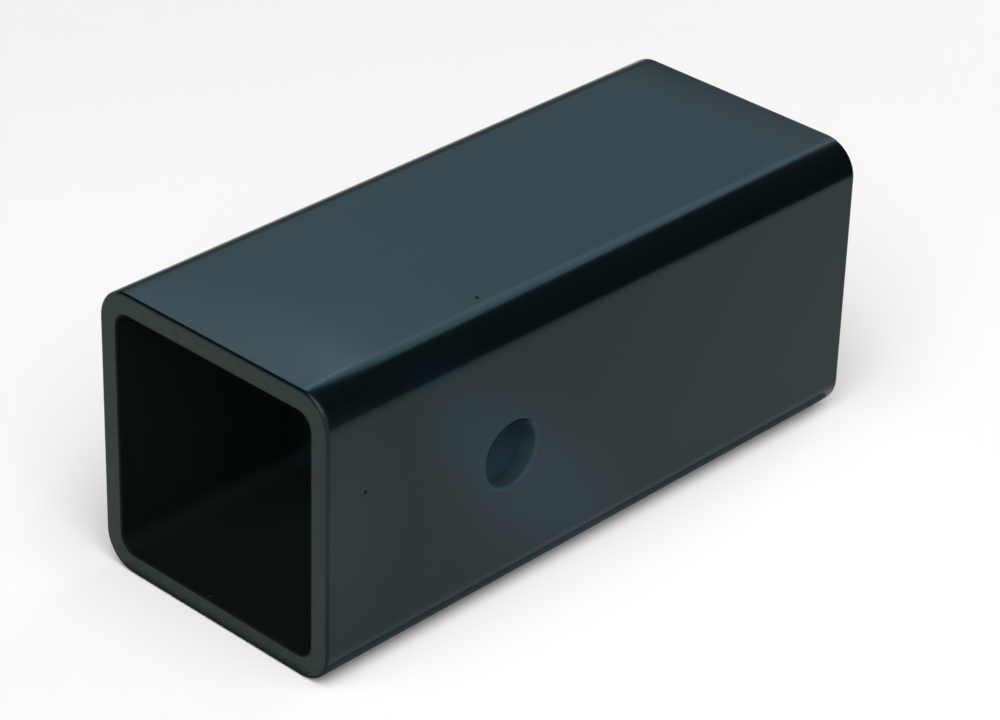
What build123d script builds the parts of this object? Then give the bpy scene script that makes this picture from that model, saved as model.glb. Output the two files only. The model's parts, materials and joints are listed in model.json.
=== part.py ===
"""Hitch reducer sleeve: a short square tube that lets a smaller shank fit a larger receiver.

The sleeve is one piece of square steel tube, cut to length, with both ends deburred and
one pin hole drilled across it through both side walls. The tube lies along X. Its near end
is the one towards -X, which is the end closer to the pin hole. The hole runs along Y, and
the origin is where the hole's axis crosses the tube's axis. All sizes are in millimetres.
"""
from build123d import *
import os

# The tube: 3 inch square, rolled, with round corners outside and inside.
TUBE_WIDTH = 76.2
TUBE_HEIGHT = 76.2
TUBE_WALL = 5.7
OUTER_CORNER_RADIUS = 9.2
INNER_CORNER_RADIUS = 4.2

# The cut: the length between the two sawn ends, and how far their edges are rounded off.
SLEEVE_LENGTH = 181.0
END_EDGE_RADIUS = 0.8
BORE_EDGE_RADIUS = 0.5

# The cross hole: it takes a 5/8 inch hitch pin with a little play all round.
PIN_DIAMETER = 15.875
PIN_CLEARANCE = 0.4
HOLE_FROM_NEAR_END = 59.2
OUTER_RIM_RADIUS = 0.9
INNER_RIM_RADIUS = 0.3

# Places that follow from the sizes above.
BORE_WIDTH = TUBE_WIDTH - 2 * TUBE_WALL
BORE_HEIGHT = TUBE_HEIGHT - 2 * TUBE_WALL
PIN_HOLE_RADIUS = PIN_DIAMETER / 2 + PIN_CLEARANCE
NEAR_END_X = -HOLE_FROM_NEAR_END


def tube_section():
    """The tube's cross-section, drawn square to X at the near end."""
    near_end = Plane(origin=(NEAR_END_X, 0, 0), x_dir=(0, 1, 0), z_dir=(1, 0, 0))
    outside = RectangleRounded(TUBE_WIDTH, TUBE_HEIGHT, OUTER_CORNER_RADIUS)
    bore = RectangleRounded(BORE_WIDTH, BORE_HEIGHT, INNER_CORNER_RADIUS)
    return near_end * (outside - bore)


def deburred_tube():
    """The cut length of tube, with the edges of both ends rounded off outside and inside."""
    tube = extrude(tube_section(), SLEEVE_LENGTH)
    for toward_end in (-1, 1):
        sawn_face = tube.faces().sort_by(Axis.X)[0 if toward_end < 0 else -1]
        tube = fillet(sawn_face.outer_wire().edges(), END_EDGE_RADIUS)
        sawn_face = tube.faces().sort_by(Axis.X)[0 if toward_end < 0 else -1]
        tube = fillet(sawn_face.inner_wires()[0].edges(), BORE_EDGE_RADIUS)
    return tube


def hole_rims(drilled, distance_from_middle):
    """The two round edges of the pin hole that lie this far from the tube's middle plane."""
    circles = drilled.edges().filter_by(GeomType.CIRCLE)
    return [
        edge
        for edge in circles
        if abs(edge.radius - PIN_HOLE_RADIUS) < 1e-6
        and abs(abs(edge.arc_center.Y) - distance_from_middle) < 1e-6
    ]


def drill(tube):
    """Drills the pin hole through both side walls and rounds off its four rims."""
    drill_bit = Rot(90, 0, 0) * Cylinder(PIN_HOLE_RADIUS, 2 * TUBE_WIDTH)
    drilled = tube - drill_bit
    drilled = fillet(hole_rims(drilled, TUBE_WIDTH / 2), OUTER_RIM_RADIUS)
    return fillet(hole_rims(drilled, BORE_WIDTH / 2), INNER_RIM_RADIUS)


def reducer_sleeve():
    """The finished sleeve, which is a single solid."""
    return drill(deburred_tube())


os.makedirs("parts", exist_ok=True)
export_step(reducer_sleeve(), "parts/sleeve.step")
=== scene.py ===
import json
import math

import bmesh
import bpy
from bpy.props import FloatProperty, FloatVectorProperty, PointerProperty, StringProperty
from bpy.types import Operator, Panel, PropertyGroup
from mathutils import Matrix, Vector


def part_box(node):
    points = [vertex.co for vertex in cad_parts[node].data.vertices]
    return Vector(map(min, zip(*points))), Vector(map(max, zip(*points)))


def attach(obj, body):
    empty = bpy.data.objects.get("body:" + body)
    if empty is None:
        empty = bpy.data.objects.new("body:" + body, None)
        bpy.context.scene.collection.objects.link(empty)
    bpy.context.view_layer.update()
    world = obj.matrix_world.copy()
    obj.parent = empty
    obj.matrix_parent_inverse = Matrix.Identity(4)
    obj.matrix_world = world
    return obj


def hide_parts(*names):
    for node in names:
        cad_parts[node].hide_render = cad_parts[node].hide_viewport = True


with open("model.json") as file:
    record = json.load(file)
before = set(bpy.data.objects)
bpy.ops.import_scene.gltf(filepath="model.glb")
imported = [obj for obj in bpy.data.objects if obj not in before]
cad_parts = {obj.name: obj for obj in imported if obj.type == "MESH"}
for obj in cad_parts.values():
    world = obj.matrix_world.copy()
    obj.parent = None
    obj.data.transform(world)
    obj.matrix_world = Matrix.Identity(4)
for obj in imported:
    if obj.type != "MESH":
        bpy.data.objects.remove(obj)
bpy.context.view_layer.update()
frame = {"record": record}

bl_info = {
    "name": "Hitch Reducer Sleeve",
    "version": (1, 0, 0),
    "blender": (4, 5, 0),
    "location": "View3D > Sidebar > Sleeve",
    "description": "Models a powder coated hitch reducer sleeve on its packed frame, and lights it",
    "category": "Object",
}

MM = 0.001

# What comes from the frame: the node, its body, its box and its pin hole.
NODE = "sleeve"
BODY = "root"
LOW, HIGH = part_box(NODE)
PIN_HOLE = next(mount for mount in frame["record"]["mounts"] if mount["name"] == "pin_hole")
HOLE_CENTRE = Vector(PIN_HOLE["pos_m"])
HOLE_RADIUS = PIN_HOLE["dims"]["r_mm"] * MM
OUTER_RIM = (HIGH.y - LOW.y - PIN_HOLE["dims"]["length_mm"] * MM) / 2

X_AXIS, Y_AXIS, Z_AXIS = Matrix.Identity(3)
MIDDLE_X = (LOW.x + HIGH.x) / 2

# Points this close to a flat face lie on it, and a cut runs through points this close to it.
LEVEL_WITHIN = 0.01 * MM
CUT_WITHIN = 0.001 * MM

# How finely round shapes are divided: a quarter turn of a corner, an end edge, a rim, the hole.
CORNER_SEGMENTS = 24
EDGE_SEGMENTS = 6
RIM_SEGMENTS = 6
HOLE_SEGMENTS = 96
PIT_SEGMENTS = 20

# All softboxes stand this far from the origin, in metres.
SOFTBOX_DISTANCE = 2.0

# The finishes of the tube's skin, in the order of its material slots.
OUTSIDE, SAWN_END, BORE, DRILLED, RIM, PIT = range(6)

# Soft patches of painted light in the outside coat: two painted reflections on the side and a
# painted highlight on the near end's corner. Each has its middle, its half sizes and its slant on
# the side.
END_REFLECTION = ((LOW.x, LOW.y, 6 * MM), (30 * MM, 4 * MM, 46 * MM), 0.0)
HOLE_REFLECTION = ((6 * MM, LOW.y, -9 * MM), (76 * MM, 12 * MM, 24 * MM), math.radians(46))
# A painted highlight on the near end's outer edge, at its upper corner.
CORNER_HIGHLIGHT = (
    (LOW.x + 0.6 * MM, -35.2 * MM, 35.4 * MM), (0.9 * MM, 5.6 * MM, 5.6 * MM), 0.0)


class SleeveSizes(PropertyGroup):
    """Sizes of the tube, its cut ends, its pin hole and the small faults in its coat."""

    wall: FloatProperty(
        name="Wall", description="Wall thickness of the tube", default=5.7 * MM, unit="LENGTH")
    outer_corner: FloatProperty(
        name="Outer corner", description="Radius of the tube's long outer edges",
        default=9.2 * MM, unit="LENGTH")
    inner_corner: FloatProperty(
        name="Inner corner", description="Radius of the long edges of the bore",
        default=4.2 * MM, unit="LENGTH")
    end_edge: FloatProperty(
        name="End edge", description="Radius of the outer edge of each sawn end",
        default=0.8 * MM, unit="LENGTH")
    bore_edge: FloatProperty(
        name="Bore edge", description="Radius of the inner edge of each sawn end",
        default=0.5 * MM, unit="LENGTH")
    hole_radius: FloatProperty(
        name="Hole radius", description="Radius of the pin hole", default=HOLE_RADIUS,
        unit="LENGTH")
    outer_rim: FloatProperty(
        name="Outer rim", description="Radius of the hole's rim on the outside",
        default=OUTER_RIM, unit="LENGTH")
    inner_rim: FloatProperty(
        name="Inner rim", description="Radius of the hole's rim in the bore",
        default=0.3 * MM, unit="LENGTH")
    pit_radius: FloatProperty(
        name="Pit radius", description="Radius of the dark pits in the coat",
        default=0.42 * MM, unit="LENGTH")
    pit_depth: FloatProperty(
        name="Pit depth", description="Depth of the dark pits in the coat",
        default=0.25 * MM, unit="LENGTH")
    nib_length: FloatProperty(
        name="Nib length", description="Length of the bead of coat on the mouth's lower lip",
        default=1.3 * MM, unit="LENGTH")
    end_fall: FloatProperty(
        name="End fall", description="How far the coat falls away towards each cut end",
        default=1.2 * MM, unit="LENGTH")
    end_fall_reach: FloatProperty(
        name="End fall reach", description="How far from each cut end the coat starts to fall",
        default=30 * MM, unit="LENGTH")


class SleeveColours(PropertyGroup):
    """Colours of the finishes, as sRGB hex values."""

    coat: StringProperty(
        name="Coat", description="Black powder coat on the outside", default="#050D0F")
    sawn: StringProperty(
        name="Sawn end", description="The coat over the sawn end faces", default="#070D0B")
    sawn_mottle: StringProperty(
        name="Sawn mottle", description="The blotches in the coat over the sawn end faces",
        default="#151812")
    bore: StringProperty(
        name="Bore", description="The thin coat inside the bore", default="#090D0E")
    thin_bore: StringProperty(
        name="Thin bore coat", description="The same coat further in, where it gets thin",
        default="#182425")
    scale: StringProperty(
        name="Mill scale", description="Blue-grey mill scale deep in the bore",
        default="#567D8E")
    drilled: StringProperty(
        name="Drilled", description="The wall of the pin hole, with little powder on it",
        default="#293A42")
    rim: StringProperty(
        name="Rim", description="The dull coat on the upper rim of the pin hole",
        default="#060A0C")
    # Painted highlight: the lower rim of the pin hole is paler where it catches the light.
    painted_rim_highlight: StringProperty(
        name="Rubbed rim", description="The lower rim of the pin hole, where the pin rests",
        default="#31434B")
    # Painted reflection: a paler patch on the side below the pin hole, standing in for the bright
    # floor that the coat mirrors.
    painted_hole_reflection: StringProperty(
        name="Hole haze", description="Faint haze on the side, below the pin hole",
        default="#14242D")
    # Painted reflection: a paler patch on the side by the near end, standing in for the bright
    # floor that the coat mirrors.
    painted_end_reflection: StringProperty(
        name="End haze", description="Faint haze on the side, by the near end",
        default="#1A1F1D")
    # Painted highlight: a light streak on the near end's outer edge at its upper corner, where the
    # edge catches the key light.
    painted_highlight: StringProperty(
        name="Rubbed", description="The rubbed corner of the near end's outer edge",
        default="#2E2E2D")
    dirt: StringProperty(
        name="Dirt", description="Dirt in the pits", default="#050606")
    floor: StringProperty(
        name="Floor", description="Paper floor of the studio", default="#FAFAF9")
    grey_card: StringProperty(
        name="Grey card", description="The studio's grey cards", default="#7F9395")
    black_card: StringProperty(
        name="Black card", description="The studio's black card", default="#0C0C0C")


class SleeveStudio(PropertyGroup):
    """Strengths of the studio's lights."""

    key: FloatProperty(
        name="Key", description="Brightness of the large softbox over the camera", default=3.55)
    panel: FloatProperty(
        name="Panel", description="Brightness of the panel that the top face mirrors",
        default=1.05)
    strip: FloatProperty(
        name="Strip", description="Brightness of the strip boxes over the panel", default=2.5)
    bore_box: FloatProperty(
        name="Bore box", description="Brightness of the box that shines into the far mouth",
        default=3.0)
    room: FloatVectorProperty(
        name="Room", description="Colour of the dark room round the studio",
        default=(0.04, 0.04, 0.04), subtype="COLOR")


def linear(hex_colour):
    """Turns an sRGB hex value into the linear colour that a socket takes."""
    channels = [int(hex_colour[i:i + 2], 16) / 255 for i in (1, 3, 5)]
    return [c / 12.92 if c <= 0.04045 else ((c + 0.055) / 1.055) ** 2.4 for c in channels] + [1.0]


def add_node(tree, kind, inputs=None, **settings):
    """Adds one node with its settings, and fills or links its inputs."""
    node = tree.nodes.new(kind)
    for name, value in settings.items():
        setattr(node, name, value)
    for name, value in (inputs or {}).items():
        if isinstance(value, bpy.types.NodeSocket):
            tree.links.new(value, node.inputs[name])
        else:
            node.inputs[name].default_value = value
    return node


def new_material(name):
    """A material of this name, with its nodes cleared if it is there already."""
    material = bpy.data.materials.get(name) or bpy.data.materials.new(name)
    material.use_nodes = True
    material.node_tree.nodes.clear()
    return material


def per_metre(feature_mm):
    """The scale of a noise pattern whose features are this many millimetres across."""
    return 1 / (feature_mm * MM)


def end_fall(tree, place, sizes):
    """Height of the top's coat in metres. It falls away to both cut ends, most at the near one."""
    crest_x = MIDDLE_X + 3 * MM
    half_length = crest_x - LOW.x
    steepness = 2.5
    along = add_node(tree, "ShaderNodeSeparateXYZ", {"Vector": place}).outputs["X"]
    offset = add_node(tree, "ShaderNodeMath", {0: along, 1: crest_x}, operation="SUBTRACT")
    away = add_node(tree, "ShaderNodeMath", {0: offset.outputs[0]}, operation="ABSOLUTE")
    share = add_node(tree, "ShaderNodeMapRange", {
        "Value": away.outputs[0], "From Min": half_length - sizes.end_fall_reach,
        "From Max": half_length, "To Min": 0.0, "To Max": 1.0})
    curve = add_node(
        tree, "ShaderNodeMath", {0: share.outputs["Result"], 1: steepness}, operation="POWER")
    normal = add_node(tree, "ShaderNodeNewGeometry").outputs["Normal"]
    upward = add_node(tree, "ShaderNodeSeparateXYZ", {"Vector": normal}).outputs["Z"]
    on_top = add_node(tree, "ShaderNodeMapRange", {
        "Value": upward, "From Min": 0.0, "From Max": 1.0, "To Min": 0.0,
        "To Max": -sizes.end_fall})
    fall = add_node(tree, "ShaderNodeMath", {
        0: curve.outputs[0], 1: on_top.outputs["Result"]}, operation="MULTIPLY")
    return fall.outputs[0]


def patch_share(tree, place, centre, half_size, slant):
    """How much of a soft oval patch covers each place, from 0 to 1."""
    turned = add_node(tree, "ShaderNodeMapping", {
        "Vector": place, "Location": centre, "Rotation": (0, slant, 0), "Scale": half_size},
        vector_type="TEXTURE")
    ball = add_node(tree, "ShaderNodeTexGradient", {
        "Vector": turned.outputs["Vector"]}, gradient_type="SPHERICAL")
    soft = add_node(tree, "ShaderNodeMapRange", {
        "Value": ball.outputs["Fac"]}, interpolation_type="SMOOTHSTEP")
    return soft.outputs["Result"]


def satin_powder_coat(sizes, colours):
    """Polyester powder coat, sprayed and baked: a satin skin with a faint orange peel.

    The coat mirrors a little less than fresh polyester, so its IOR is lower, and what it mirrors
    is blue-grey. Two soft patches on the side are painted reflections, and one corner of the
    near end has a painted highlight.
    """
    peel_mm = 1.6
    peel_depth = 0.008 * MM
    patch_mm = 14.0
    smoothest, roughest = 0.19, 0.22
    cool_grey = (0.36, 0.86, 1.0, 1.0)
    material = new_material("satin black powder coat")
    tree = material.node_tree
    place = add_node(tree, "ShaderNodeTexCoord").outputs["Object"]
    peel = add_node(tree, "ShaderNodeTexNoise", {
        "Vector": place, "Scale": per_metre(peel_mm), "Detail": 2.0, "Roughness": 0.45})
    height = add_node(tree, "ShaderNodeMath", {
        0: peel.outputs["Fac"], 1: peel_depth, 2: end_fall(tree, place, sizes)},
        operation="MULTIPLY_ADD")
    bump = add_node(tree, "ShaderNodeBump", {
        "Height": height.outputs[0], "Strength": 1.0, "Distance": 1.0})
    # The powder lies a little rougher here and there, in patches.
    patches = add_node(tree, "ShaderNodeTexNoise", {
        "Vector": place, "Scale": per_metre(patch_mm), "Detail": 3.0})
    satin = add_node(tree, "ShaderNodeMapRange", {
        "Value": patches.outputs["Fac"], "From Min": 0.3, "From Max": 0.7,
        "To Min": smoothest, "To Max": roughest})
    colour = linear(colours.coat)
    # Painted light in the base colour: two paler patches on the side are painted reflections of the
    # bright floor, and a light streak on the near corner is a painted highlight.
    for patch, hex_colour in (
            (END_REFLECTION, colours.painted_end_reflection), (HOLE_REFLECTION, colours.painted_hole_reflection),
            (CORNER_HIGHLIGHT, colours.painted_highlight)):
        mixed = add_node(tree, "ShaderNodeMixRGB", {
            "Fac": patch_share(tree, place, *patch), "Color1": colour,
            "Color2": linear(hex_colour)})
        colour = mixed.outputs["Color"]
    shader = add_node(tree, "ShaderNodeBsdfPrincipled", {
        "Base Color": colour, "Roughness": satin.outputs["Result"], "IOR": 1.3,
        "Specular Tint": cool_grey, "Normal": bump.outputs["Normal"]})
    add_node(tree, "ShaderNodeOutputMaterial", {"Surface": shader.outputs["BSDF"]})
    return material


def coated_saw_cut(colours):
    """Powder coat over a sawn face: a greenish, mottled skin, through which the saw lines show.

    Real saw lines are about 0.3 mm apart. They are drawn coarser, so that the render shows them.
    The pattern runs slower by a share along the lines, which draws it out.
    """
    line_mm = 0.7
    line_depth = 0.05 * MM
    line_slant = math.radians(28)
    along_lines = 0.12
    blotch_mm = 2.6
    green_grey = (0.43, 1.0, 0.91, 1.0)
    material = new_material("powder coat over a saw cut")
    tree = material.node_tree
    place = add_node(tree, "ShaderNodeTexCoord").outputs["Object"]
    lined = add_node(tree, "ShaderNodeMapping", {
        "Vector": place, "Rotation": (line_slant, 0, 0), "Scale": (1, along_lines, 1)})
    lines = add_node(tree, "ShaderNodeTexNoise", {
        "Vector": lined.outputs["Vector"], "Scale": per_metre(line_mm), "Detail": 3.0})
    bump = add_node(tree, "ShaderNodeBump", {
        "Height": lines.outputs["Fac"], "Strength": 1.0, "Distance": line_depth})
    blotches = add_node(tree, "ShaderNodeTexNoise", {
        "Vector": place, "Scale": per_metre(blotch_mm), "Detail": 2.0})
    mottled = add_node(tree, "ShaderNodeMapRange", {
        "Value": blotches.outputs["Fac"], "From Min": 0.35, "From Max": 0.65})
    colour = add_node(tree, "ShaderNodeMixRGB", {
        "Fac": mottled.outputs["Result"], "Color1": linear(colours.sawn),
        "Color2": linear(colours.sawn_mottle)})
    shader = add_node(tree, "ShaderNodeBsdfPrincipled", {
        "Base Color": colour.outputs["Color"], "Roughness": 0.34, "IOR": 1.33,
        "Specular Tint": green_grey, "Normal": bump.outputs["Normal"]})
    add_node(tree, "ShaderNodeOutputMaterial", {"Surface": shader.outputs["BSDF"]})
    return material


def thin_bore_coat(colours):
    """Powder from the mouths thins out deep in the bore, where the blue-grey mill scale shows.

    Both are dry and grainy there, so they hardly mirror.
    """
    grain_mm = 1.2
    grain_depth = 0.02 * MM
    bare_reach = 38 * MM
    material = new_material("thin powder coat over mill scale")
    tree = material.node_tree
    place = add_node(tree, "ShaderNodeTexCoord").outputs["Object"]
    grain = add_node(tree, "ShaderNodeTexNoise", {
        "Vector": place, "Scale": per_metre(grain_mm), "Detail": 4.0})
    bump = add_node(tree, "ShaderNodeBump", {
        "Height": grain.outputs["Fac"], "Strength": 1.0, "Distance": grain_depth})
    along = add_node(tree, "ShaderNodeSeparateXYZ", {"Vector": place}).outputs["X"]
    offset = add_node(tree, "ShaderNodeMath", {0: along, 1: MIDDLE_X}, operation="SUBTRACT")
    away = add_node(tree, "ShaderNodeMath", {0: offset.outputs[0]}, operation="ABSOLUTE")
    bare = add_node(tree, "ShaderNodeMapRange", {
        "Value": away.outputs[0], "From Min": bare_reach, "From Max": 0.0},
        interpolation_type="SMOOTHSTEP")
    inside = add_node(tree, "ShaderNodeMapRange", {
        "Value": away.outputs[0], "From Min": HIGH.x - MIDDLE_X, "From Max": bare_reach})
    coat = add_node(tree, "ShaderNodeMixRGB", {
        "Fac": inside.outputs["Result"], "Color1": linear(colours.bore),
        "Color2": linear(colours.thin_bore)})
    colour = add_node(tree, "ShaderNodeMixRGB", {
        "Fac": bare.outputs["Result"], "Color1": coat.outputs["Color"],
        "Color2": linear(colours.scale)})
    shader = add_node(tree, "ShaderNodeBsdfPrincipled", {
        "Base Color": colour.outputs["Color"], "Roughness": 0.6, "IOR": 1.2,
        "Normal": bump.outputs["Normal"]})
    add_node(tree, "ShaderNodeOutputMaterial", {"Surface": shader.outputs["BSDF"]})
    return material


def drilled_steel(colours):
    """The wall of a drilled hole: fine turned rings round the hole under a thin coat.

    Real drill rings are about 0.2 mm apart. They are drawn coarser, so that the render shows them.
    The pattern runs slower by a share along the rings, which draws it out.
    """
    ring_mm = 0.6
    ring_depth = 0.01 * MM
    along_rings = 0.15
    material = new_material("drilled steel under a thin coat")
    tree = material.node_tree
    place = add_node(tree, "ShaderNodeTexCoord").outputs["Object"]
    ringed = add_node(tree, "ShaderNodeMapping", {
        "Vector": place, "Scale": (along_rings, 1, along_rings)})
    rings = add_node(tree, "ShaderNodeTexNoise", {
        "Vector": ringed.outputs["Vector"], "Scale": per_metre(ring_mm), "Detail": 2.0})
    bump = add_node(tree, "ShaderNodeBump", {
        "Height": rings.outputs["Fac"], "Strength": 1.0, "Distance": ring_depth})
    shader = add_node(tree, "ShaderNodeBsdfPrincipled", {
        "Base Color": linear(colours.drilled), "Roughness": 0.45, "IOR": 1.2,
        "Normal": bump.outputs["Normal"]})
    add_node(tree, "ShaderNodeOutputMaterial", {"Surface": shader.outputs["BSDF"]})
    return material


def rim_with_painted_highlight(colours):
    """The thin coat on the rounded rim of the hole, which is dull.

    It keeps the coat's black along the upper near part. Below it is paler, a painted highlight
    where the lower rim catches the light. Being so dull, it hardly mirrors, so its IOR is far
    below that of the outside coat.
    """
    toward_dark = (-0.34, 0.0, 0.94)
    dark_from = 6.5 * MM
    pale_from = 3 * MM
    material = new_material("dull coat on the hole's rim")
    tree = material.node_tree
    place = add_node(tree, "ShaderNodeTexCoord").outputs["Object"]
    upward = add_node(
        tree, "ShaderNodeVectorMath", {0: place, 1: toward_dark}, operation="DOT_PRODUCT")
    # Share of the painted highlight: the lower rim is paler where it catches the light.
    painted_highlight = add_node(tree, "ShaderNodeMapRange", {
        "Value": upward.outputs["Value"], "From Min": dark_from, "From Max": pale_from},
        interpolation_type="SMOOTHSTEP")
    colour = add_node(tree, "ShaderNodeMixRGB", {
        "Fac": painted_highlight.outputs["Result"], "Color1": linear(colours.rim),
        "Color2": linear(colours.painted_rim_highlight)})
    shader = add_node(tree, "ShaderNodeBsdfPrincipled", {
        "Base Color": colour.outputs["Color"], "Roughness": 0.5, "IOR": 1.07})
    add_node(tree, "ShaderNodeOutputMaterial", {"Surface": shader.outputs["BSDF"]})
    return material


def pit_dirt(colours):
    """Dull dirt that sits in a pit of the coat."""
    material = new_material("dirt in a pit")
    tree = material.node_tree
    shader = add_node(tree, "ShaderNodeBsdfPrincipled", {
        "Base Color": linear(colours.dirt), "Roughness": 0.8, "IOR": 1.3})
    add_node(tree, "ShaderNodeOutputMaterial", {"Surface": shader.outputs["BSDF"]})
    return material


def rounded_box(bm, low, high, corner, finish):
    """A box between two corners, with its edges along X rounded."""
    size = high - low
    verts = bmesh.ops.create_cube(bm, size=1.0)["verts"]
    bmesh.ops.scale(bm, vec=size, verts=verts)
    bmesh.ops.translate(bm, vec=(low + high) / 2, verts=verts)
    for face in bm.faces:
        if face.verts[0] in verts:
            face.material_index = finish
    edges = [edge for edge in bm.edges if edge.verts[0] in verts]
    long_edges = [e for e in edges if abs(e.verts[0].co.x - e.verts[1].co.x) > size.x / 2]
    round_off(bm, long_edges, corner, CORNER_SEGMENTS)


def end_edges(bm, x):
    """The open edges of the skins at one end."""
    return [e for e in bm.edges if e.is_boundary and abs(e.verts[0].co.x - x) < LEVEL_WITHIN]


def sawn_tube(bm, sizes):
    """The plain length of tube: an outer and an inner skin, joined at both ends."""
    inset = Vector((0, sizes.wall, sizes.wall))
    rounded_box(bm, LOW, HIGH, sizes.outer_corner, OUTSIDE)
    rounded_box(bm, LOW + inset, HIGH - inset, sizes.inner_corner, BORE)
    bmesh.ops.reverse_faces(bm, faces=[face for face in bm.faces if face.material_index == BORE])
    caps = [face for face in bm.faces if abs(face.normal.x) > 0.5]
    bmesh.ops.delete(bm, geom=caps, context="FACES_ONLY")
    for x in (LOW.x, HIGH.x):
        joined = bmesh.ops.bridge_loops(bm, edges=end_edges(bm, x))
        for face in joined["faces"]:
            face.material_index = SAWN_END
    bmesh.ops.recalc_face_normals(bm, faces=bm.faces)


def round_off(bm, edges, radius, segments, finish=-1):
    """Rounds off sharp edges. The new faces keep their neighbours' finish, or get their own."""
    bmesh.ops.bevel(
        bm, geom=edges, offset=radius, offset_type="OFFSET", segments=segments, profile=0.5,
        affect="EDGES", material=finish, loop_slide=True)


def deburr(bm, sizes):
    """Rounds the outer and the inner edge of both sawn ends."""
    for finish, radius in ((OUTSIDE, sizes.end_edge), (BORE, sizes.bore_edge)):
        edges = [
            edge for edge in bm.edges
            if {face.material_index for face in edge.link_faces} == {finish, SAWN_END}]
        round_off(bm, edges, radius, EDGE_SEGMENTS, finish)


def face_at(bm, point, normal):
    """The flat face that holds a point and looks along a normal."""
    for face in bm.faces:
        level = abs((face.calc_center_median() - point).dot(normal)) < LEVEL_WITHIN
        if level and abs(face.normal.dot(normal)) > 0.999:
            if bmesh.geometry.intersect_face_point(face, point):
                return face
    raise RuntimeError(f"no flat face lies at {tuple(point)}")


def open_window(bm, point, normal, half_width):
    """Cuts a square window out of a flat face, and returns its four edges."""
    for axis in (X_AXIS, Y_AXIS, Z_AXIS):
        if abs(axis.dot(normal)) > 0.5:
            continue
        for side in (-1, 1):
            face = face_at(bm, point, normal)
            bmesh.ops.bisect_plane(
                bm, geom=[face, *face.edges, *face.verts], dist=CUT_WITHIN,
                plane_co=point + side * half_width * axis, plane_no=axis)
    pane = face_at(bm, point, normal)
    edges = list(pane.edges)
    bmesh.ops.delete(bm, geom=[pane], context="FACES_ONLY")
    return edges


def round_opening(bm, point, normal, radius, half_width, segments, finish):
    """Opens a round hole in a flat face, and returns the edges of its rim."""
    outward = face_at(bm, point, normal).normal.copy()
    window = open_window(bm, point, normal, half_width)
    # Each side of the window gets a quarter of the rim's points, so that they join one to one.
    split = bmesh.ops.subdivide_edges(bm, edges=window, cuts=segments // 4 - 1)["geom_split"]
    window = [part for part in split if isinstance(part, bmesh.types.BMEdge)]
    turn = Z_AXIS.rotation_difference(normal).to_matrix().to_4x4()
    ring = bmesh.ops.create_circle(
        bm, cap_ends=True, radius=radius, segments=segments,
        matrix=Matrix.Translation(point) @ turn)["verts"]
    lid = ring[0].link_faces[0]
    if lid.normal.dot(outward) < 0:
        bmesh.ops.reverse_faces(bm, faces=[lid])
    rim = list(lid.edges)
    for face in bmesh.ops.bridge_loops(bm, edges=window + rim)["faces"]:
        face.material_index = finish
    bmesh.ops.delete(bm, geom=[lid], context="FACES_ONLY")
    return rim


def pin_hole(bm, sizes):
    """The pin hole through both side walls, with its four rims rounded."""
    window_margin = 5 * MM
    half_width = sizes.hole_radius + window_margin
    outer_rims, inner_rims = [], []
    for side in (-1, 1):
        normal = side * Y_AXIS
        outside = Vector((HOLE_CENTRE.x, side * HIGH.y, HOLE_CENTRE.z))
        inside = outside - sizes.wall * normal
        outer = round_opening(
            bm, outside, normal, sizes.hole_radius, half_width, HOLE_SEGMENTS, OUTSIDE)
        inner = round_opening(
            bm, inside, normal, sizes.hole_radius, half_width, HOLE_SEGMENTS, BORE)
        for face in bmesh.ops.bridge_loops(bm, edges=outer + inner)["faces"]:
            face.material_index = DRILLED
        outer_rims += outer
        inner_rims += inner
    bmesh.ops.recalc_face_normals(bm, faces=bm.faces)
    round_off(bm, outer_rims, sizes.outer_rim, RIM_SEGMENTS, RIM)
    round_off(bm, inner_rims, sizes.inner_rim, RIM_SEGMENTS)


def coat_pit(bm, sizes, point, normal):
    """A small round pit in the coat, with a dished floor."""
    rim = round_opening(
        bm, point, normal, sizes.pit_radius, 2 * sizes.pit_radius, PIT_SEGMENTS, OUTSIDE)
    # The dish has two rings, at these shares of the pit's depth and of its radius.
    for depth, share in ((0.6, 0.8), (1.0, 0.4)):
        made = bmesh.ops.extrude_edge_only(bm, edges=rim)["geom"]
        verts = [part for part in made if isinstance(part, bmesh.types.BMVert)]
        rim = [part for part in made if isinstance(part, bmesh.types.BMEdge)]
        centre = sum((vert.co for vert in verts), Vector()) / len(verts)
        sunk = point - depth * sizes.pit_depth * normal
        scale = share * sizes.pit_radius / (verts[0].co - centre).length
        bmesh.ops.scale(bm, vec=(scale,) * 3, verts=verts, space=Matrix.Translation(-centre))
        bmesh.ops.translate(bm, vec=sunk - centre, verts=verts)
        for face in (part for part in made if isinstance(part, bmesh.types.BMFace)):
            face.material_index = PIT
    for face in bmesh.ops.edgeloop_fill(bm, edges=rim)["faces"]:
        face.material_index = PIT


def remove_older(name):
    """Removes an older object of this name, so that its operator can run again."""
    old = bpy.data.objects.get(name)
    if old:
        bpy.data.objects.remove(old)


def new_object(name, bm, materials):
    """Turns a bmesh into an object of this name with these materials."""
    remove_older(name)
    mesh = bpy.data.meshes.new(name)
    bm.to_mesh(mesh)
    bm.free()
    for material in materials:
        mesh.materials.append(material)
    made = bpy.data.objects.new(name, mesh)
    bpy.context.scene.collection.objects.link(made)
    return made


def add_piece(name, bm, materials):
    """Makes a bmesh a finished piece that rides on the sleeve's body."""
    bmesh.ops.recalc_face_normals(bm, faces=bm.faces)
    for face in bm.faces:
        face.smooth = True
    piece = new_object(name, bm, materials)
    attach(piece, BODY)
    return piece


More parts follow.
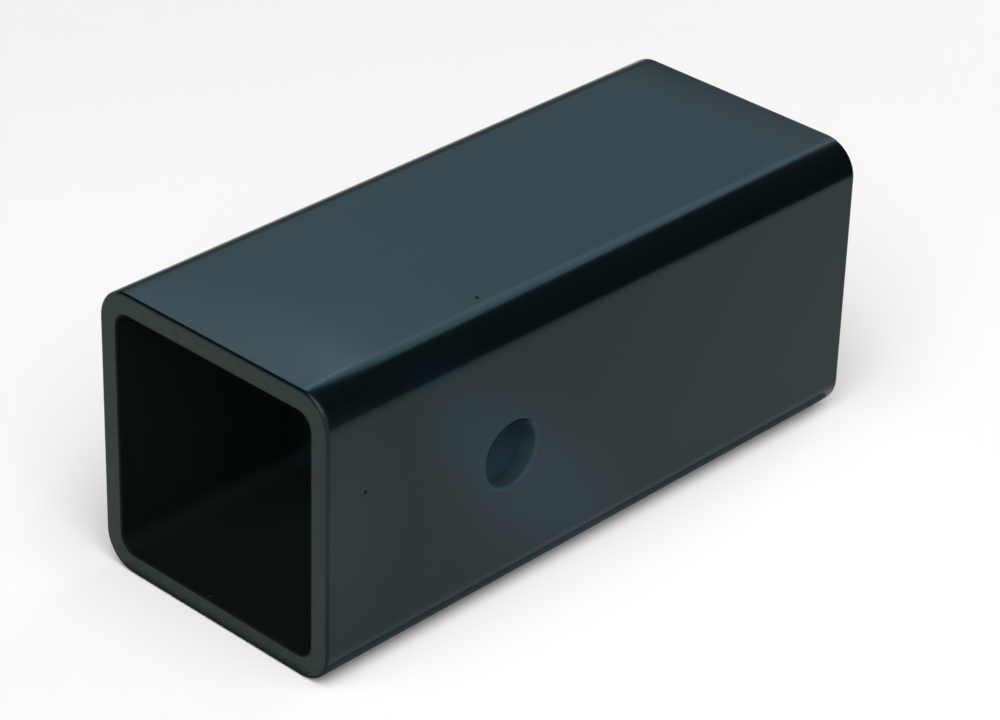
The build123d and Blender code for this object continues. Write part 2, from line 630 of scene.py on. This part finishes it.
class SLEEVE_OT_coated_tube(Operator):
    """Models the cut, deburred, drilled and coated tube"""

    bl_idname = "sleeve.coated_tube"
    bl_label = "Coated tube"

    # Where the pits lie: one on the side with the hole in view, one on the top face.
    side_pit = Vector((-47.9 * MM, LOW.y, 11.0 * MM))
    top_pit = Vector((-1.7 * MM, -26.9 * MM, HIGH.z))

    def execute(self, context):
        sizes = context.scene.sleeve_sizes
        colours = context.scene.sleeve_colours
        bm = bmesh.new()
        sawn_tube(bm, sizes)
        pin_hole(bm, sizes)
        deburr(bm, sizes)
        coat_pit(bm, sizes, self.side_pit, -Y_AXIS)
        coat_pit(bm, sizes, self.top_pit, Z_AXIS)
        piece = add_piece("coated_tube", bm, [
            satin_powder_coat(sizes, colours), coated_saw_cut(colours), thin_bore_coat(colours),
            drilled_steel(colours), rim_with_painted_highlight(colours), pit_dirt(colours)])
        flats = piece.modifiers.new("Flat faces shade flat", "WEIGHTED_NORMAL")
        flats.mode = "FACE_AREA"
        flats.weight = 50
        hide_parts(NODE)
        return {"FINISHED"}


class SLEEVE_OT_coat_nib(Operator):
    """Models the small bead of coat on the lower lip of the bore"""

    bl_idname = "sleeve.coat_nib"
    bl_label = "Bead of coat"

    # How far the bead lies inside the mouth and across it from the middle, and its proportions.
    inside_mouth = 1.2 * MM
    across = 2.8 * MM
    proportions = (0.7, 1.0, 0.6)

    def execute(self, context):
        sizes = context.scene.sleeve_sizes
        bm = bmesh.new()
        verts = bmesh.ops.create_icosphere(bm, subdivisions=3, radius=sizes.nib_length / 2)["verts"]
        bmesh.ops.scale(bm, vec=self.proportions, verts=verts)
        lip = Vector((LOW.x + self.inside_mouth, self.across, LOW.z + sizes.wall))
        bmesh.ops.translate(bm, vec=lip, verts=verts)
        add_piece("coat_nib", bm, [satin_powder_coat(sizes, context.scene.sleeve_colours)])
        return {"FINISHED"}


def paper_floor(colours):
    """White seamless paper. Rays from the camera and from gloss see it whiter with distance.

    The lift grows between two distances from the origin, in metres. Diffuse rays don't see it.
    """
    near, far = 0.3, 2.4
    near_lift, far_lift = 0.08, 0.74
    material = new_material("white paper floor")
    tree = material.node_tree
    paper = add_node(tree, "ShaderNodeBsdfDiffuse", {"Color": linear(colours.floor)})
    place = add_node(tree, "ShaderNodeTexCoord").outputs["Object"]
    distance = add_node(tree, "ShaderNodeVectorMath", {0: place}, operation="LENGTH")
    strength = add_node(tree, "ShaderNodeMapRange", {
        "Value": distance.outputs["Value"], "From Min": near, "From Max": far,
        "To Min": near_lift, "To Max": far_lift})
    lift = add_node(tree, "ShaderNodeEmission", {
        "Color": (1, 1, 1, 1), "Strength": strength.outputs["Result"]})
    path = add_node(tree, "ShaderNodeLightPath")
    seen = add_node(tree, "ShaderNodeMath", {
        0: path.outputs["Is Camera Ray"], 1: path.outputs["Is Glossy Ray"]}, operation="MAXIMUM")
    seen = add_node(tree, "ShaderNodeMath", {
        0: seen.outputs[0], 1: path.outputs["Is Transmission Ray"]}, operation="MAXIMUM")
    both = add_node(tree, "ShaderNodeAddShader", {
        0: paper.outputs["BSDF"], 1: lift.outputs["Emission"]})
    mixed = add_node(tree, "ShaderNodeMixShader", {
        0: seen.outputs[0], 1: paper.outputs["BSDF"], 2: both.outputs["Shader"]})
    add_node(tree, "ShaderNodeOutputMaterial", {"Surface": mixed.outputs["Shader"]})
    return material


def matt_card(name, hex_colour):
    """Matt card of one colour, which the studio darkens reflections with."""
    material = new_material(name)
    tree = material.node_tree
    card = add_node(tree, "ShaderNodeBsdfDiffuse", {"Color": linear(hex_colour)})
    add_node(tree, "ShaderNodeOutputMaterial", {"Surface": card.outputs["BSDF"]})
    return material


def add_stage(name, bm, material):
    """Turns a bmesh into an object of the studio, with one material."""
    stage = new_object(name, bm, [material])
    return stage


def flat_sheet(width, height):
    """A flat sheet that lies level, with its middle at the origin."""
    bm = bmesh.new()
    bmesh.ops.create_grid(bm, x_segments=1, y_segments=1, size=0.5)
    bmesh.ops.scale(bm, vec=(width, height, 1), verts=bm.verts)
    return bm


def direction(azimuth, elevation):
    """The unit vector at an angle from +X towards +Y, and an angle up, in degrees."""
    a, e = math.radians(azimuth), math.radians(elevation)
    return Vector((math.cos(a) * math.cos(e), math.sin(a) * math.cos(e), math.sin(e)))


def add_softbox(name, azimuth, elevation, width, height, radiance, colour):
    """A softbox that faces the sleeve. Its radiance is as given, whatever its size."""
    remove_older(name)
    light = bpy.data.lights.new(name, "AREA")
    light.shape = "RECTANGLE"
    light.size, light.size_y = width, height
    light.color = colour
    light.energy = radiance * math.pi * width * height
    lamp = bpy.data.objects.new(name, light)
    toward = direction(azimuth, elevation)
    lamp.location = toward * SOFTBOX_DISTANCE
    lamp.rotation_euler = toward.to_track_quat("Z", "Y").to_euler()
    bpy.context.scene.collection.objects.link(lamp)
    return lamp


class SLEEVE_OT_studio(Operator):
    """Sets up the paper floor, the cards, the softboxes, the dark room and the camera"""

    bl_idname = "sleeve.studio"
    bl_label = "Studio"

    floor_size = 8.0
    backdrop_radius = 3.5
    backdrop_height = 1.0
    backdrop_segments = 96

    # The softboxes: azimuth and elevation in degrees, then width and height in metres.
    key_softbox = (-135, 60, 2.2, 2.2)
    bore_box = (2, 22, 1.2, 0.8)
    back_panel = (41, 28, 1.8, 0.5)
    right_strip = (31, 45.2, 1.0, 0.74)
    left_strip = (64, 45.5, 1.0, 0.74)
    white = (1, 1, 1)
    panel_colour = (0.62, 0.88, 1)
    strip_colour = (0.74, 0.9, 1)

    # Cards that only gloss sees, as studios use for a black part on white. A black one outside
    # the picture gives the long upper corner its black line. A grey one behind the sleeve keeps
    # the far edge crisp. A grey one under it, wider by a margin, is painted shade: it stands in
    # for the floor's contact shadow, so that the lower edges mirror dark.
    # The standing ones have an azimuth, a distance, a width and a height.
    black_flag = (-43, 0.34, 0.70, 0.70)
    grey_flag = (50, 1.0, 0.60, 0.38)
    card_margin = Vector((1.6 * MM, 2.4 * MM, 0))
    card_height = 0.2 * MM

    # The camera: where it stands, what its middle looks at, its lens and how far it leans.
    camera_place = Vector((-0.528455, -0.528366, 0.446828))
    camera_aim = Vector((0.035385, 0, -0.004836))
    camera_lens = 131.493
    camera_roll = math.radians(1.794)

    def execute(self, context):
        self.floor(context)
        self.backdrop(context)
        self.cards(context)
        self.lights(context)
        self.camera(context)
        context.scene.view_settings.view_transform = "Standard"
        return {"FINISHED"}

    def floor(self, context):
        """The wide sheet of paper that the sleeve lies on."""
        bm = flat_sheet(self.floor_size, self.floor_size)
        bmesh.ops.translate(bm, vec=(0, 0, LOW.z), verts=bm.verts)
        add_stage("paper_floor", bm, paper_floor(context.scene.sleeve_colours))

    def backdrop(self, context):
        """A ring of the same paper, which stands round the middle of the floor."""
        bm = bmesh.new()
        bmesh.ops.create_cone(
            bm, cap_ends=False, segments=self.backdrop_segments, radius1=self.backdrop_radius,
            radius2=self.backdrop_radius, depth=self.backdrop_height)
        bmesh.ops.translate(bm, vec=(0, 0, LOW.z + self.backdrop_height / 2), verts=bm.verts)
        add_stage("paper_backdrop", bm, paper_floor(context.scene.sleeve_colours))

    def cards(self, context):
        """The black card and the two grey ones."""
        colours = context.scene.sleeve_colours
        grey = matt_card("matt grey card", colours.grey_card)
        black = matt_card("matt black card", colours.black_card)
        self.standing_card("black_flag", *self.black_flag, black)
        self.standing_card("grey_flag", *self.grey_flag, grey)
        # Painted shade: a grey sheet under the sleeve, which only gloss sees, stands in for the
        # floor's contact shadow.
        size = HIGH - LOW + 2 * self.card_margin
        bm = flat_sheet(size.x, size.y)
        middle = Vector((MIDDLE_X, (LOW.y + HIGH.y) / 2, LOW.z + self.card_height))
        bmesh.ops.translate(bm, vec=middle, verts=bm.verts)
        self.only_gloss_sees(add_stage("contact_shade_card", bm, grey))

    def standing_card(self, name, azimuth, distance, width, height, material):
        """A card that stands on the floor and faces the sleeve."""
        bm = flat_sheet(width, height)
        facing = direction(azimuth, 0)
        bmesh.ops.transform(
            bm, matrix=facing.to_track_quat("Z", "Y").to_matrix(), verts=bm.verts)
        bmesh.ops.translate(
            bm, vec=distance * facing + (LOW.z + height / 2) * Z_AXIS, verts=bm.verts)
        self.only_gloss_sees(add_stage(name, bm, material))

    def only_gloss_sees(self, card):
        """Hides a card from the camera and from diffuse rays, and takes its shadow away."""
        card.visible_camera = False
        card.visible_diffuse = False
        card.visible_shadow = False

    def lights(self, context):
        """The softboxes, and the dark room round them."""
        studio = context.scene.sleeve_studio
        add_softbox("key_softbox", *self.key_softbox, studio.key, self.white)
        add_softbox("bore_box", *self.bore_box, studio.bore_box, self.white)
        for name, place, radiance, colour in (
                ("back_panel", self.back_panel, studio.panel, self.panel_colour),
                ("right_strip", self.right_strip, studio.strip, self.strip_colour),
                ("left_strip", self.left_strip, studio.strip, self.strip_colour)):
            # These three only show in the gloss, so they don't pale the coat.
            add_softbox(name, *place, radiance, colour).visible_diffuse = False
        world = bpy.data.worlds.new("dark_room")
        world.use_nodes = True
        world.node_tree.nodes.clear()
        room = add_node(world.node_tree, "ShaderNodeBackground", {
            "Color": (*studio.room, 1), "Strength": 1.0})
        add_node(world.node_tree, "ShaderNodeOutputWorld", {"Surface": room.outputs[0]})
        context.scene.world = world

    def camera(self, context):
        """The camera, solved from the photograph together with the tube's proportions."""
        remove_older("camera")
        camera = bpy.data.objects.new("camera", bpy.data.cameras.new("camera"))
        camera.data.lens = self.camera_lens
        camera.location = self.camera_place
        facing = (self.camera_aim - self.camera_place).to_track_quat("-Z", "Y").to_matrix()
        camera.rotation_euler = (facing @ Matrix.Rotation(self.camera_roll, 3, "Z")).to_euler()
        context.scene.collection.objects.link(camera)
        context.scene.camera = camera


class VIEW3D_PT_sleeve(Panel):
    """Lists the sleeve's pieces and studio, with their sizes and colours"""

    bl_label = "Hitch Reducer Sleeve"
    bl_space_type = "VIEW_3D"
    bl_region_type = "UI"
    bl_category = "Sleeve"

    def draw(self, context):
        for operator in OPERATORS:
            self.layout.operator(operator.bl_idname)
        for group in GROUPS:
            values = getattr(context.scene, group)
            box = self.layout.box()
            for name in values.__annotations__:
                box.prop(values, name)


OPERATORS = (SLEEVE_OT_coated_tube, SLEEVE_OT_coat_nib, SLEEVE_OT_studio)
GROUPS = {
    "sleeve_sizes": SleeveSizes,
    "sleeve_colours": SleeveColours,
    "sleeve_studio": SleeveStudio,
}


def register():
    for cls in (*GROUPS.values(), *OPERATORS, VIEW3D_PT_sleeve):
        bpy.utils.register_class(cls)
    for name, group in GROUPS.items():
        setattr(bpy.types.Scene, name, PointerProperty(type=group))


def unregister():
    for name in GROUPS:
        delattr(bpy.types.Scene, name)
    for cls in reversed((*GROUPS.values(), *OPERATORS, VIEW3D_PT_sleeve)):
        bpy.utils.unregister_class(cls)


def main():
    register()
    bpy.ops.sleeve.coated_tube()
    bpy.ops.sleeve.coat_nib()
    bpy.ops.sleeve.studio()
    bpy.context.view_layer.update()


if __name__ == "__main__":
    main()
